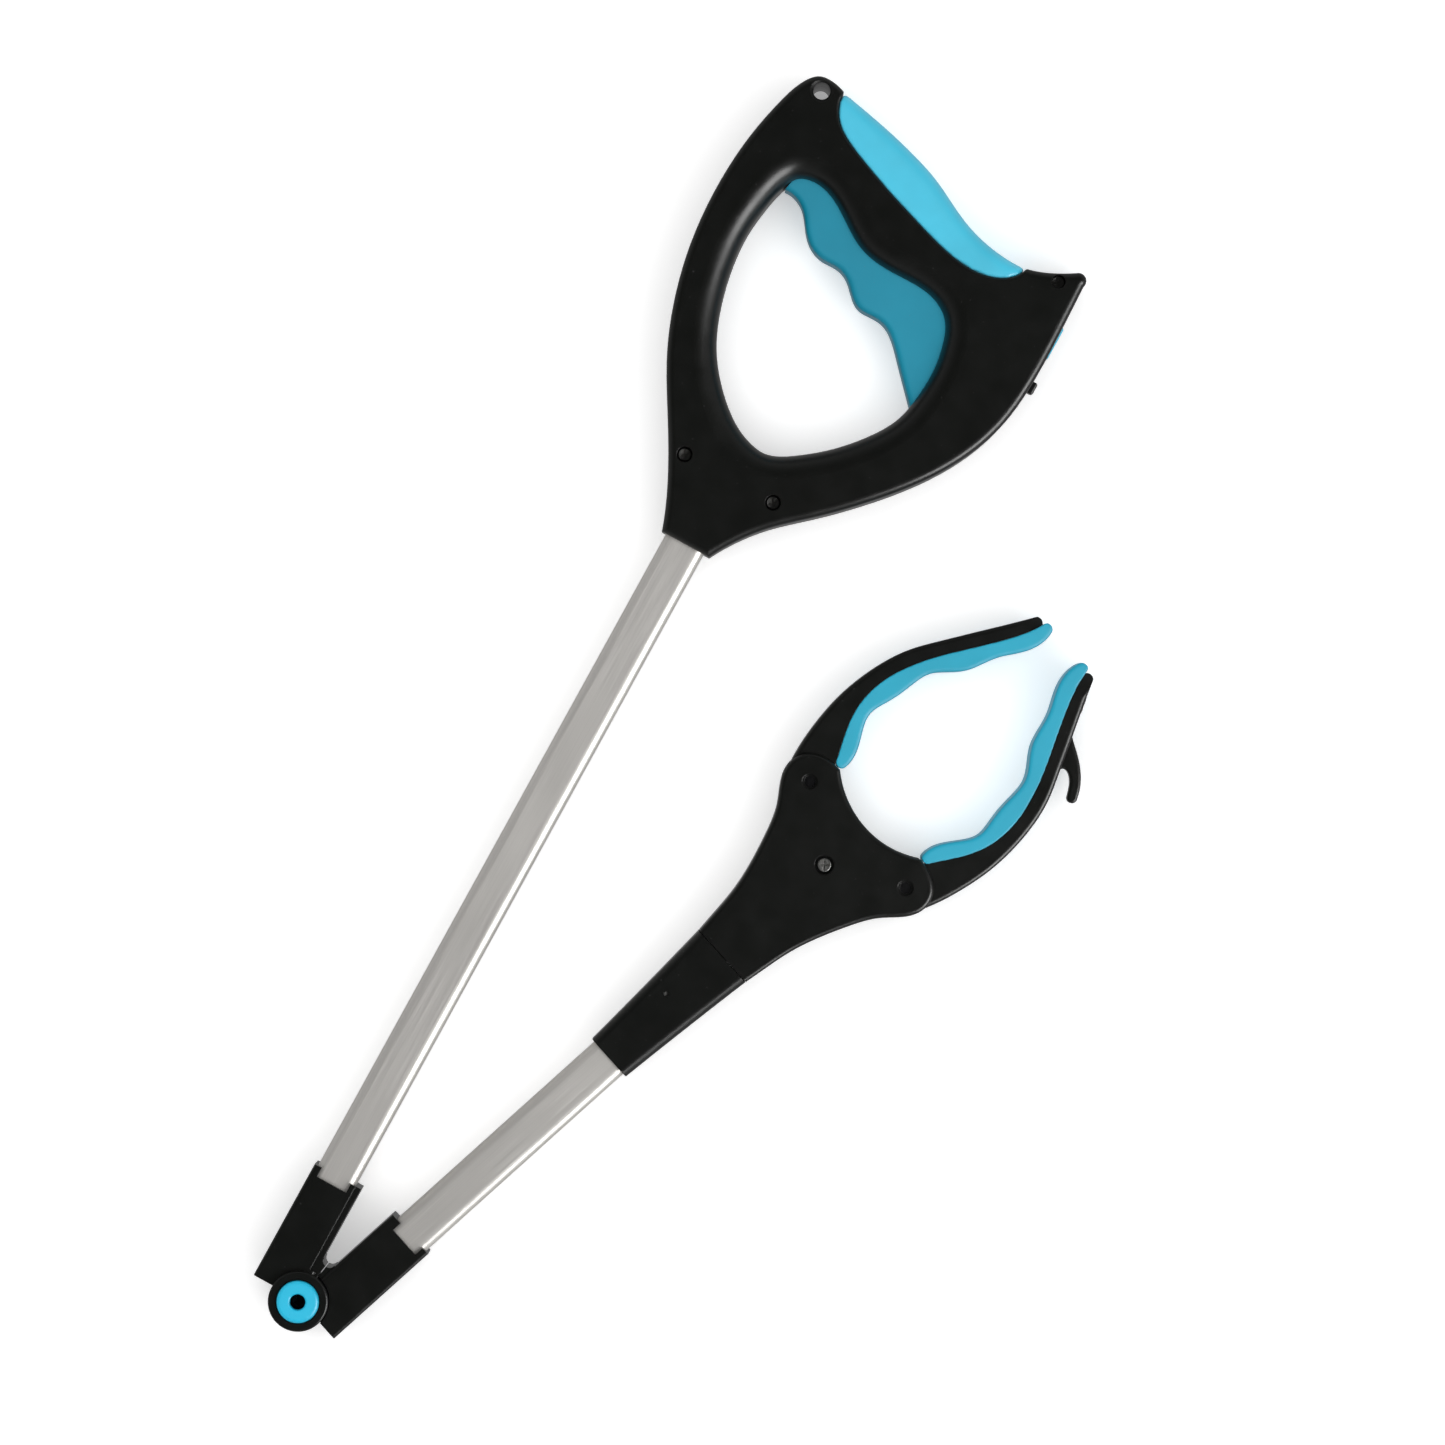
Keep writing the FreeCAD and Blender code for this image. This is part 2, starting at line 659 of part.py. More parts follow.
def handle_posts():
    """Screw posts, guide posts and the boss of the hang hole, over the whole thickness."""
    full = THROUGH / 2
    screw_post_r = 3.7
    pivot_post_r = 4.0
    guide_post_r = 2.6
    posts = []
    for centre in NECK_SCREWS + [BEAK_SCREW]:
        posts.append(disc(centre, screw_post_r, -full, full))
    posts.append(disc(HANG_HOLE, HANG_HOLE_R + HANG_HOLE_WALL, -full, full))
    beside_trigger = TRIGGER_HALF + CLEAR
    for low, high in ((beside_trigger, full), (-full, -beside_trigger)):
        posts.append(disc(TRIGGER_PIVOT, pivot_post_r, low, high))
    for centre, _ in cable_guides():
        for low, high in ((GUIDE_HALF, full), (-full, -GUIDE_HALF)):
            posts.append(disc(centre, guide_post_r, low, high))
    rail_x = (413.0, 436.0)
    rail_y = (-64.4, -63.2)
    posts.append(box(rail_x, rail_y, (-full, full)))
    clamp_x = (300.0, 304.0)
    posts.append(box(clamp_x, (-THROUGH, THROUGH), (-full, full)))
    return posts


def handle_cable_points():
    """From the tube's end, round the three guides, to the nipple in the trigger."""
    start = (CABLE_RUN_END, ARM_OFFSET)
    end = (CABLE_ANCHOR[0] - NIPPLE_R, CABLE_ANCHOR[1] - 0.4)
    return [start] + [corner for corner, _ in CABLE_BENDS] + [end]


def cable_guides():
    """Centre and radius of each guide, which fills the inside of one cable bend."""
    points = handle_cable_points()
    gap = 0.05
    guides = []
    for index, (corner, radius) in enumerate(CABLE_BENDS):
        centre = bend_centre(points[index], corner, points[index + 2], radius)
        guides.append((centre, radius - CABLE_R - gap))
    return guides


def handle_body():
    """Both shells as one: the outside, hollow, with its posts, holes and windows."""
    body = prism(handle_outline(), -HANDLE_HALF, HANDLE_HALF).common(side_profile(0))
    body = body.cut(prism(loop_outline(), -THROUGH, THROUGH))
    for edges, radius in (("rim", RIM_ROUND), ("loop", LOOP_ROUND), ("seat", SEAT_ROUND)):
        body = body.makeFillet(radius, face_edges(body)[edges])
    body = body.cut(seam_groove(handle_outline()))
    hollow = prism(inset(handle_outline(), SHELL_WALL), -HANDLE_HALF, HANDLE_HALF)
    hollow = hollow.cut(prism(inset(loop_outline(), -SHELL_WALL), -THROUGH, THROUGH))
    round_start = HANDLE_HALF - LOOP_ROUND
    overlap = 2.0
    behind_round = inset(loop_outline(), overlap - LOOP_ROUND)
    for low, high in ((round_start, THROUGH), (-THROUGH, -round_start)):
        hollow = hollow.cut(prism(behind_round, low, high))
    hollow = hollow.common(side_profile(SHELL_WALL))
    for post in handle_posts():
        hollow = hollow.cut(post)
    body = body.cut(hollow).cut(trigger_slot()).fuse(palm_core())
    return cut_each(body, handle_holes())


def screw_hole(centre, recess_r, seat):
    """The recess over a screw's head and the bore for its shank."""
    recess = disc(centre, recess_r, seat, THROUGH)
    return recess.fuse(disc(centre, SCREW_R + FIXED, SCREW_TIP, seat))


def handle_holes():
    """Everything that passes through the shells or is let into them."""
    neck_recess_r = 2.8
    beak_recess_r = 2.4
    holes = [disc(HANG_HOLE, HANG_HOLE_R, -THROUGH, THROUGH)]
    rim_chamfer = 1.0
    for side in (1, -1):
        cone = Part.makeCone(HANG_HOLE_R, HANG_HOLE_R + rim_chamfer, rim_chamfer,
                             vec(HANG_HOLE[0], HANG_HOLE[1], side * (HANDLE_HALF - rim_chamfer)),
                             vec(0, 0, side))
        holes.append(cone)
    for centre, top in SCREW_SEATS:
        recess_r = neck_recess_r if centre in NECK_SCREWS else beak_recess_r
        holes.append(screw_hole(centre, recess_r, top - SCREW_SINK))
    holes.append(disc(TRIGGER_PIVOT, TRIGGER_PIN_R + FIXED, -PIVOT_PIN_HALF, PIVOT_PIN_HALF))
    for centre, radius in cable_guides():
        holes.append(disc(centre, GUIDE_PIN_R + FIXED, -GUIDE_PIN_HALF, GUIDE_PIN_HALF))
        holes.append(disc(centre, radius + CLEAR, -GUIDE_HALF, GUIDE_HALF))
    tube_x = (MOUTH_X - 9.0, UPPER_TUBE_END)
    holes.append(square_bar(tube_x, ARM_OFFSET, TUBE_SIDE, TUBE_SIDE, TUBE_CORNER))
    tunnel_side = 9.0
    tunnel_x = (UPPER_TUBE_END - 1.0, UPPER_TUBE_END + 3.0)
    holes.append(square_bar(tunnel_x, ARM_OFFSET, tunnel_side, tunnel_side, 2.0))
    holes.append(disc(TUBE_PIN, TUBE_PIN_R + FIXED, -TUBE_PIN_HALF, TUBE_PIN_HALF))
    under_y = (-80.0, -66.5)
    for x, half in ((LOCK_NUB_X, LOCK_NUB_HALF), (LOCK_FACE_X, LOCK_FACE_HALF)):
        window_x = (x[0] - LOCK_WINDOW_EASE, x[1] + LOCK_WINDOW_EASE + LOCK_TRAVEL)
        holes.append(box(window_x, under_y, (-half - CLEAR, half + CLEAR)))
    return holes


def trigger_outline():
    fingers = spline([(421.2, 38.4), (420.9, 34.5), (418.4, 30), (412.6, 25.4), (408.0, 20.6),
                      (406.2, 15), (406.2, 9.5), (404.6, 5), (400.6, 0.6), (397.4, -4),
                      (397.2, -10), (396.6, -14.5), (393.6, -19.3), (388.0, -24.8),
                      (381.0, -31.4), (374.4, -37.6)])
    left_tip = (374.4, -37.6)
    below = (388.0, -49.0)
    hub_left = polar(TRIGGER_PIVOT, TRIGGER_HUB_R, 165)
    hub_low = polar(TRIGGER_PIVOT, TRIGGER_HUB_R, 270)
    hub_right = polar(TRIGGER_PIVOT, TRIGGER_HUB_R, 15)
    rear_low = (416.0, -43.0)
    rear = [(423.2, -33), (424.6, -20), (427.0, -10), (430.4, 0), (437.2, 20)]
    top_right = polar(TRIGGER_PIVOT, TRIGGER_TOP_R, 67.3)
    rear_edge = spline(rear + [top_right])
    top_left = (421.2, 38.4)
    top_middle = polar(TRIGGER_PIVOT, TRIGGER_TOP_R, 73)
    return wire([fingers, line(left_tip, below), line(below, hub_left),
                 arc(hub_left, hub_low, hub_right), line(hub_right, rear_low),
                 line(rear_low, rear[0]), rear_edge, arc(top_right, top_middle, top_left)])


def finger_edges(shape):
    """The trigger's long edges on the finger side, both faces."""
    return flat_edges(shape, TRIGGER_HALF, lambda point: point.x < 408 and point.y > -33)


def trigger():
    """A channel open at the back, with the nipple's seat and the cable's slot in its foot."""
    finger_round = 2.4
    inner_half = TRIGGER_HALF - 2.4
    body = prism(trigger_outline(), -TRIGGER_HALF, TRIGGER_HALF)
    body = body.makeFillet(finger_round, finger_edges(body))
    channel = polygon([(413, -30), (420, -29), (440, 31), (425, 35), (411, 18), (402, -8)])
    opening = polygon([(417, -28), (460, -28), (460, 29), (430, 29)])
    for outline in (channel, opening):
        body = body.cut(prism(outline, -inner_half, inner_half))
    body = body.cut(disc(TRIGGER_PIVOT, TRIGGER_PIN_R + RUNNING, -THROUGH, THROUGH))
    body = body.cut(disc(CABLE_ANCHOR, NIPPLE_R, -NIPPLE_HALF, THROUGH))
    slot_x = (TRIGGER_PIVOT[0] - 43.0, CABLE_ANCHOR[0])
    slot_y = (CABLE_ANCHOR[1] - 8.0, CABLE_ANCHOR[1] + CABLE_BORE_R)
    return body.cut(box(slot_x, slot_y, (-CABLE_BORE_R, CABLE_BORE_R))).removeSplitter()


def lower_edges(shape, level):
    """Edges of a shape's lowest face, across the handle."""
    return [edge for edge in shape.Edges if edge.BoundBox.YMax < level + 0.1]


def lock_slider():
    plate_low, plate_high = LOCK_PLATE_Y
    nub_round = 0.9
    plate = box(LOCK_PLATE_X, LOCK_PLATE_Y, (-LOCK_PLATE_HALF, LOCK_PLATE_HALF))
    nub = box(LOCK_NUB_X, (LOCK_NUB_END, plate_high), (-LOCK_NUB_HALF, LOCK_NUB_HALF))
    nub = nub.makeFillet(nub_round, lower_edges(nub, LOCK_NUB_END))
    seat_y = (plate_low - 1.0, plate_low + LOCK_FACE_SINK)
    seat = box(LOCK_FACE_X, seat_y, (-LOCK_FACE_HALF, LOCK_FACE_HALF))
    return plate.fuse(nub).cut(seat).removeSplitter()


def lock_face():
    """The coloured push face, let into the slider."""
    face_round = 0.8
    face_y = (LOCK_FACE_END, LOCK_PLATE_Y[0] + LOCK_FACE_SINK)
    face = box(LOCK_FACE_X, face_y, (-LOCK_FACE_HALF, LOCK_FACE_HALF))
    return face.makeFillet(face_round, lower_edges(face, LOCK_FACE_END))


def halves(body):
    """The upper and the lower shell of a body that parts at mid height."""
    reach = 600.0
    across = (-reach, reach)
    upper = body.common(box(across, across, (0, THROUGH)))
    lower = body.common(box(across, across, (-THROUGH, 0)))
    return upper.removeSplitter(), lower.removeSplitter()


def handle_screws():
    head_thick = 1.3
    screws = []
    for centre, top in SCREW_SEATS:
        seat = top - SCREW_SINK
        screws.append(screw(centre, SCREW_HEAD_R, seat, seat + head_thick, SCREW_R, SCREW_TIP))
    return Part.makeCompound(screws)


def guide_rollers():
    half = GUIDE_HALF - 0.2
    rollers = [ring(centre, radius, GUIDE_PIN_R, -half, half) for centre, radius in cable_guides()]
    return Part.makeCompound(rollers)


def guide_pins():
    pins = [disc(centre, GUIDE_PIN_R, -GUIDE_PIN_HALF, GUIDE_PIN_HALF) for centre, _ in cable_guides()]
    return Part.makeCompound(pins)


def trigger_spring():
    outer = 5.4
    wire_thick = 1.2
    low = TRIGGER_HALF + 0.4
    high = 12.6
    return ring(TRIGGER_PIVOT, outer, outer - wire_thick, low, high)


def make_handle():
    upper, lower = halves(handle_body())
    add("handle_shell_top", upper)
    add("handle_shell_bottom", lower)
    add("palm_pad", palm_pad())
    add("handle_screws", handle_screws())
    add("trigger", trigger())
    add("trigger_pivot_pin", disc(TRIGGER_PIVOT, TRIGGER_PIN_R, -PIVOT_PIN_HALF, PIVOT_PIN_HALF))
    add("trigger_return_spring", trigger_spring())
    add("cable_nipple", disc(CABLE_ANCHOR, NIPPLE_R, -NIPPLE_HALF, NIPPLE_HALF))
    add("cable_guides", guide_rollers())
    add("guide_pins", guide_pins())
    add("tube_pin", disc(TUBE_PIN, TUBE_PIN_R, -TUBE_PIN_HALF, TUBE_PIN_HALF))
    radii = [radius for _, radius in CABLE_BENDS]
    print("handle cable bend radii", radii)
    add("cable_handle_run", cable(rounded_path(handle_cable_points(), radii)))
    add("cable_upper_run", rod_x(CABLE_R, (TUBE_START + CABLE_MEET, CABLE_RUN_END), ARM_OFFSET))
    add("lock_slider", lock_slider())
    add("lock_button_face", lock_face())


# Neck, head and jaws, in the lower arm's own direction. Across the head, v is counted
# from the arm's centreline.

def to_arm(shape):
    """Move a piece drawn about v = 0 on to the lower arm's centreline."""
    placed = shape.copy()
    placed.translate(vec(0, -ARM_OFFSET))
    return placed


def neck_collar():
    """A sleeve that swells from the tube's size to the head's, bored for the swivel."""
    corner = 3.0
    middle_x = (COLLAR_START + COLLAR_END) / 2
    sections = [square_section(COLLAR_START, 0, 17.6, 17.6, corner),
                square_section(middle_x, 0, 20.6, 20.4, corner),
                square_section(COLLAR_END, 0, 24.2, 24.0, corner)]
    tube_x = (COLLAR_START - 1.0, LOWER_TUBE_END)
    flange_x = (FLANGE_X[0] - CLEAR, FLANGE_X[1] + CLEAR)
    cable_way_r = 2.5
    cutters = [square_bar(tube_x, 0, TUBE_SIDE, TUBE_SIDE, TUBE_CORNER),
               rod_x(cable_way_r, (LOWER_TUBE_END - 1.0, COLLAR_END), 0),
               rod_x(SPIGOT_R + RUNNING, (SPIGOT_X[0] - CLEAR, COLLAR_END + 1.0), 0),
               rod_x(FLANGE_R + RUNNING, flange_x, 0),
               disc(NECK_PIN, NECK_PIN_R + FIXED, NECK_PIN_LOW, THROUGH)]
    return cut_each(Part.makeLoft(sections, True), cutters).removeSplitter()


def swivel_spigot():
    spigot = rod_x(SPIGOT_R, SPIGOT_X, 0)
    spigot = spigot.fuse(rod_x(FLANGE_R, FLANGE_X, 0)).fuse(rod_x(HEAD_FLANGE_R, HEAD_FLANGE_X, 0))
    bore_x = (SPIGOT_X[0] - 1.0, SPIGOT_X[1] + 1.0)
    return spigot.cut(rod_x(CABLE_BORE_R, bore_x, 0)).removeSplitter()


HEAD_SIDE = [(HEAD_START, 12.1), (200, 13.3), (210, 14.9), (220, 17.8), (230, 21.6), (240, 26.8)]
COVE_CORNER = (264.1, 20.9)
COVE_DEEPEST = (257.3, 0.0)


def mirror_points(points):
    return [(x, -v) for x, v in points]


def head_outline():
    """Waisted sides that run on round the two ears to the corners of the cove."""
    ear = [polar(JAW_PIVOT, JAW_EAR_R, angle) for angle in (118, 85, 50, 15)]
    side = HEAD_SIDE + ear + [COVE_CORNER]
    edges = [line((HEAD_START, -HEAD_SIDE[0][1]), (HEAD_START, HEAD_SIDE[0][1]))]
    edges.append(spline(side))
    edges.append(spline(mirror_points(side)))
    edges.append(arc(COVE_CORNER, COVE_DEEPEST, mirror_points([COVE_CORNER])[0]))
    return wire(edges)


def head_hollow():
    """The room inside the head, left solid round its screw and beside the swivel's flange."""
    everywhere = (-THROUGH, THROUGH)
    screw_post_r = 3.6
    hollow = prism(inset(head_outline(), HEAD_WALL), -PLATE_IN, PLATE_IN)
    hollow = hollow.cut(disc((HEAD_SCREW_X, 0), screw_post_r, -THROUGH, THROUGH))
    for x in (HEAD_FLANGE_X[0] - FLANGE_RIB, HEAD_FLANGE_X[1]):
        hollow = hollow.cut(box((x, x + FLANGE_RIB), everywhere, everywhere))
    return hollow


def head_jaw_room(side):
    """What one jaw needs: its knuckle's round, its way out, its pin's holes."""
    pivot = (JAW_PIVOT[0], side * JAW_PIVOT[1])
    sweep_r = 12.6
    pin_recess_r = 2.8
    front = box((JAW_PIVOT[0] + 2.4, 300.0), (-THROUGH, THROUGH), (-THROUGH, THROUGH))
    return [disc(pivot, JAW_EAR_R + 0.1, -PLATE_IN, PLATE_IN),
            disc(pivot, sweep_r, -PLATE_IN, PLATE_IN).common(front),
            disc(pivot, JAW_PIN_R + FIXED, -THROUGH, THROUGH),
            disc(pivot, pin_recess_r, JAW_PIN_HALF, THROUGH),
            disc(pivot, pin_recess_r, -THROUGH, -JAW_PIN_HALF)]


def head_yoke_room():
    ease = 0.5
    x = (246.0, YOKE_BAR_X[1] + 3.1)
    across = (-YOKE_REACH - ease, YOKE_REACH + ease)
    return box(x, across, (-YOKE_HALF - CLEAR, YOKE_HALF + CLEAR))


def head_body():
    """Both head shells as one, about v = 0."""
    rim_round = 1.5
    screw_recess_r = 3.4
    body = prism(head_outline(), -HEAD_HALF, HEAD_HALF)
    rim = flat_edges(body, HEAD_HALF, lambda point: point.x > HEAD_START + 1)
    body = body.makeFillet(rim_round, rim).cut(seam_groove(head_outline()))
    body = body.cut(head_hollow())
    for side in (1, -1):
        body = cut_each(body, head_jaw_room(side))
    spigot_x = (HEAD_START - 1.0, HEAD_FLANGE_X[1] + FLANGE_RIB)
    return cut_each(body, [head_yoke_room(),
                           rod_x(SPIGOT_R, spigot_x, 0),
                           rod_x(HEAD_FLANGE_R, HEAD_FLANGE_X, 0),
                           screw_hole((HEAD_SCREW_X, 0), screw_recess_r, HEAD_HALF - SCREW_SINK)])


LIMB_OUTER = [(251.0, 33.6), (255, 35.2), (260, 36.8), (270, 39.0), (280, 40.2), (290, 40.1),
              (300, 38.8), (310, 36.0), (320, 31.1), (330, 25.8), (340, 20.4), (350, 15.2), (356, 12.2)]
PAD_SEAT = [(350.6, 11.2), (347, 12.1), (338, 15.8), (326, 22.1), (315, 27.9), (305, 31.9),
            (297, 33.8), (290, 34.1), (283, 33.0), (275, 29.7), (266, 24.5)]
PAD_FACE = [(265.4, 20.4), (270, 20.7), (275, 23.0), (280, 26.3), (285, 28.4), (290, 27.9),
            (296, 26.7), (303, 26.1), (309.5, 24.9), (315, 21.0), (320, 17.2), (326, 15.0),
            (332, 12.8), (338, 9.3), (343, 7.2), (347.5, 6.6), (351.2, 7.2)]
HOOK = [(332.6, 24.2), (331.4, 26.6), (329.6, 30.4), (326.8, 35.2), (322.6, 39.8), (319.0, 42.2)]
HOOK_INNER = [(317.0, 39.2), (320.3, 36.8), (322.3, 34.4), (322.9, 32.2), (321.4, 30.4)]


def limb_outline():
    root = (258.0, 20.0)
    beyond_tip = (356.0, 9.9)
    tip = [line(LIMB_OUTER[-1], beyond_tip), line(beyond_tip, PAD_SEAT[0])]
    inside = (252.0, 24.0)
    return wire([spline(LIMB_OUTER), spline(PAD_SEAT), line(PAD_SEAT[-1], root),
                 line(root, inside), line(inside, LIMB_OUTER[0])] + tip)


def pad_outline():
    tip = arc(PAD_FACE[-1], (352.5, 9.0), (352.0, 10.8))
    root = arc(PAD_SEAT[-1], (264.2, 22.3), PAD_FACE[0])
    return wire([spline(PAD_SEAT), line(PAD_SEAT[0], (352.0, 10.8)), tip, spline(PAD_FACE), root])


def hook():
    tip = arc(HOOK[-1], (316.4, 41.8), HOOK_INNER[0])
    closing = [line(HOOK_INNER[-1], (324, 24)), line((324, 24), HOOK[0])]
    outline = wire([spline(HOOK), tip, spline(HOOK_INNER)] + closing)
    half = 4.0
    blade_round = 1.0
    blade = prism(outline, -half, half)
    return blade.makeFillet(blade_round, flat_edges(blade, half, lambda point: point.y > 29))


def drive_pin_place():
    return polar(JAW_PIVOT, CRANK, CRANK_ANGLE)


def limb():
    """The jaw's bent limb, rounded outside, with its tip narrowed and the pad's seat cut in."""
    outer_round = 1.6
    body = prism(limb_outline(), -JAW_HALF, JAW_HALF)
    outer = flat_edges(body, JAW_HALF, lambda point: point.y > 34 and point.x > 270)
    body = body.makeFillet(outer_round, outer)
    beyond = 370.0
    across = (0.0, THROUGH)
    tip_centre = (349.2, 13.2)
    tip_r = 2.3
    past_tip = box((tip_centre[0], beyond), across, (-THROUGH, THROUGH))
    body = body.cut(past_tip.cut(disc(tip_centre, tip_r, -THROUGH, THROUGH)))
    body = body.cut(prism(pad_outline(), -THROUGH, THROUGH))
    nose_x = 343.0
    nose_r = 14.6
    nose_axis = JAW_HALF - nose_r
    nose = Part.makeCylinder(nose_r, THROUGH, vec(nose_x, 0, nose_axis), vec(0, 1, 0))
    over_nose = box((nose_x, beyond), across, (nose_axis, THROUGH)).cut(nose)
    return body.cut(over_nose).cut(over_nose.mirror(vec(0, 0), vec(0, 0, 1)))


def yoke_sweep():
    """The room that the yoke's cross bar needs as the knuckle turns over it."""
    outer = 14.0
    inner = 3.9
    start = 182.0
    turn = 150.0
    half = YOKE_HALF + 0.4
    sweep = Part.makeCylinder(outer, 2 * half, vec(0, 0, -half), vec(0, 0, 1), turn)
    sweep = sweep.cut(disc((0, 0), inner, -THROUGH, THROUGH))
    sweep.rotate(vec(0, 0), vec(0, 0, 1), start)
    sweep.translate(vec(*JAW_PIVOT))
    return sweep


def knuckle():
    """The jaw's hub and the crank that its drive pin stands in."""
    drive = drive_pin_place()
    root_half = 6.0
    left = CRANK_ANGLE + 90
    right = CRANK_ANGLE - 90
    body = disc(JAW_PIVOT, JAW_KNUCKLE_R, -JAW_HALF, JAW_HALF)
    body = body.fuse(disc(drive, CRANK_R, -JAW_HALF, JAW_HALF))
    crank = polygon([polar(JAW_PIVOT, root_half, left), polar(drive, CRANK_R, left),
                     polar(drive, CRANK_R, right), polar(JAW_PIVOT, root_half, right)])
    return body.fuse(prism(crank, -JAW_HALF, JAW_HALF)).cut(yoke_sweep())


def jaw(with_hook):
    """One jaw about v = 0, on the +v side: limb, knuckle and crank."""
    body = limb().fuse(knuckle())
    if with_hook:
        body = body.fuse(hook()).cut(magnet_at(MAGNET_THICK + 3.0))
    body = body.cut(disc(JAW_PIVOT, JAW_PIN_R + RUNNING, -THROUGH, THROUGH))
    drive_hole = disc(drive_pin_place(), DRIVE_PIN_R, -DRIVE_PIN_HALF, DRIVE_PIN_HALF)
    return body.cut(drive_hole).removeSplitter()


def magnet_at(thickness):
    """A disc at the jaw's tip, square to its outer side, this thick from the seat's floor."""
    direction = vec(*MAGNET_DIRECTION)
    inner = vec(*MAGNET_PLACE) - direction * (MAGNET_THICK - MAGNET_PROUD)
    return Part.makeCylinder(MAGNET_R, thickness, inner, direction)


def jaw_pad():
    half = JAW_HALF + 0.3
    face_round = 1.2
    pad = prism(pad_outline(), -half, half)
    face = flat_edges(pad, half, lambda point: 266 < point.x < 345 and point.y < 28.3)
    return pad.makeFillet(face_round, face)


def pull_yoke():
    """The cross bar that turns both jaws, with a window round the head's screw post."""
    drive = drive_pin_place()
    thick = (-YOKE_HALF, YOKE_HALF)
    rail_half = 8.0
    tail_r = 4.6
    tail_end = 229.0
    yoke = box(YOKE_BAR_X, (-YOKE_REACH, YOKE_REACH), thick)
    yoke = yoke.fuse(box((tail_end - 1.0, 250.0), (-rail_half, rail_half), thick))
    yoke = yoke.fuse(rod_x(tail_r, (SPRING_X[1], tail_end), 0))
    window_x = (230.6, 243.2)
    window_half = 4.3
    cutters = [box(window_x, (-window_half, window_half), (-THROUGH, THROUGH))]
    slot_x = DRIVE_PIN_R + 0.25
    slot_v = 2.0
    middle_v = drive[1] - 0.15
    for side in (1, -1):
        centre_v = side * middle_v
        cutters.append(box((drive[0] - slot_x, drive[0] + slot_x),
                           (centre_v - slot_v, centre_v + slot_v), (-THROUGH, THROUGH)))
    cable_way_r = 0.9
    ferrule_x = (FERRULE_X[0], FERRULE_X[1] + CLEAR)
    cutters.append(rod_x(cable_way_r, (SPRING_X[1] - 1.0, FERRULE_X[0]), 0))
    cutters.append(rod_x(FERRULE_R + RUNNING, ferrule_x, 0))
    return cut_each(yoke, cutters).removeSplitter()


def jaw_spring():
    outer = 3.6
    wire_thick = 1.0
    bore_x = (SPRING_X[0] - 1.0, SPRING_X[1] + 1.0)
    return rod_x(outer, SPRING_X, 0).cut(rod_x(outer - wire_thick, bore_x, 0))


def head_screw():
    head_thick = 1.6
    seat = HEAD_HALF - SCREW_SINK
    return screw((HEAD_SCREW_X, 0), HEAD_SCREW_HEAD_R, seat, seat + head_thick, SCREW_R, SCREW_TIP)


def jaw_pivot_pins():
    pins = []
    for side in (1, -1):
        pins.append(disc((JAW_PIVOT[0], side * JAW_PIVOT[1]), JAW_PIN_R, -JAW_PIN_HALF, JAW_PIN_HALF))
    return Part.makeCompound(pins)


def make_neck_and_head():
    upper, lower = halves(head_body())
    pieces = {
        "neck_collar": neck_collar(),
        "neck_pin": disc(NECK_PIN, NECK_PIN_R, NECK_PIN_LOW, NECK_PIN_HIGH),
        "swivel_spigot": swivel_spigot(),
        "head_shell_top": upper,
        "head_shell_bottom": lower,
        "head_screw": head_screw(),
        "jaw_pivot_pins": jaw_pivot_pins(),
        "pull_yoke": pull_yoke(),
        "jaw_return_spring": jaw_spring(),
        "cable_ferrule": rod_x(FERRULE_R, FERRULE_X, 0),
        "cable_lower_run": rod_x(CABLE_R, (TUBE_START + CABLE_MEET, FERRULE_X[0]), 0),
    }
    for name, shape in pieces.items():
        add_lower(name, to_arm(shape))


def make_jaws():
    pin = disc(drive_pin_place(), DRIVE_PIN_R, -DRIVE_PIN_HALF, DRIVE_PIN_HALF)
    pieces = {
        "jaw_plain": jaw(False),
        "jaw_plain_pad": jaw_pad(),
        "jaw_plain_drive_pin": pin,
        "jaw_hook": mirrored(jaw(True)),
        "jaw_hook_pad": mirrored(jaw_pad()),
        "jaw_hook_drive_pin": mirrored(pin),
        "tip_magnet": mirrored(magnet_at(MAGNET_THICK)),
    }
    for name, shape in pieces.items():
        add_lower(name, to_arm(shape))


def write_parts():
    """Put the origin at the middle of the footprint, on the floor, and write every piece."""
    bounds = Part.makeCompound(list(NODES.values())).BoundBox
    shift = vec(-bounds.Center.x, -bounds.Center.y, HANDLE_HALF)
    print("shift", round(shift.x, 4), round(shift.y, 4), round(shift.z, 4))
    os.makedirs("parts", exist_ok=True)
    for name, shape in NODES.items():
        shape.translate(shift)
        shape.exportStep("parts/" + name + ".step")
        print(name, "valid", shape.isValid(), "solids", len(shape.Solids))


make_hinge()
make_handle()
make_neck_and_head()
make_jaws()
write_parts()
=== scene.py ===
import json
import math

